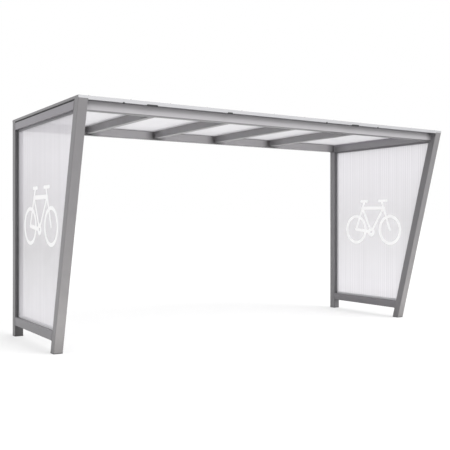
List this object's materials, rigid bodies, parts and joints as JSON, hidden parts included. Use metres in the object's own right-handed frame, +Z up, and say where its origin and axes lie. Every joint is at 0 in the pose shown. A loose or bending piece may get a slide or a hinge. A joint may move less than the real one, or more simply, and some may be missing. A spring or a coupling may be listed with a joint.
{
  "type": "bike shelter",
  "caption": "Open-fronted bike shelter: tubular end frames with leaning front posts and opal fluted side panels carry a flat rafter roof of twin-wall sheets.",
  "frame": {"origin": "centre of the bounding box on the ground under the posts", "axes": "+X along the shelter's length to the right, -Y towards the open front, +Z up"},
  "size_m": [4.1, 1.6916, 2.062],
  "materials": {
    "frame_paint": "satin",
    "beam_paint": "satin",
    "trim_metal": "satin",
    "channel_metal": "satin",
    "panel_sheet": "opal",
    "roof_sheet": "opal",
    "gasket_rubber": "matte",
    "foot_pad": "matte"
  },
  "bodies": {
    "root": {"front_beam": "beam_paint", "front_trim": "trim_metal", "joint_bar_1": "trim_metal", "joint_bar_2": "trim_metal", "joint_bar_3": "trim_metal", "joint_bar_4": "trim_metal", "left_bottom_channel": "channel_metal", "left_bottom_rail": "frame_paint", "left_front_channel": "channel_metal", "left_front_foot": "foot_pad", "left_front_post": "frame_paint", "left_panel": "panel_sheet", "left_rear_channel": "channel_metal", "left_rear_foot": "foot_pad", "left_rear_post": "frame_paint", "left_rear_seal": "gasket_rubber", "left_roof_gasket": "gasket_rubber", "left_top_channel": "channel_metal", "left_top_rail": "frame_paint", "left_trim": "frame_paint", "rafter_1": "frame_paint", "rafter_2": "frame_paint", "rafter_3": "frame_paint", "rafter_4": "frame_paint", "rear_beam": "beam_paint", "rear_trim": "frame_paint", "right_bottom_channel": "channel_metal", "right_bottom_rail": "frame_paint", "right_front_channel": "channel_metal", "right_front_foot": "foot_pad", "right_front_post": "frame_paint", "right_panel": "panel_sheet", "right_rear_channel": "channel_metal", "right_rear_foot": "foot_pad", "right_rear_post": "frame_paint", "right_rear_seal": "gasket_rubber", "right_roof_gasket": "gasket_rubber", "right_top_channel": "channel_metal", "right_top_rail": "frame_paint", "right_trim": "frame_paint", "roof_sheet_1": "roof_sheet", "roof_sheet_2": "roof_sheet", "roof_sheet_3": "roof_sheet", "roof_sheet_4": "roof_sheet", "roof_sheet_5": "roof_sheet"}
  },
  "joints": []
}
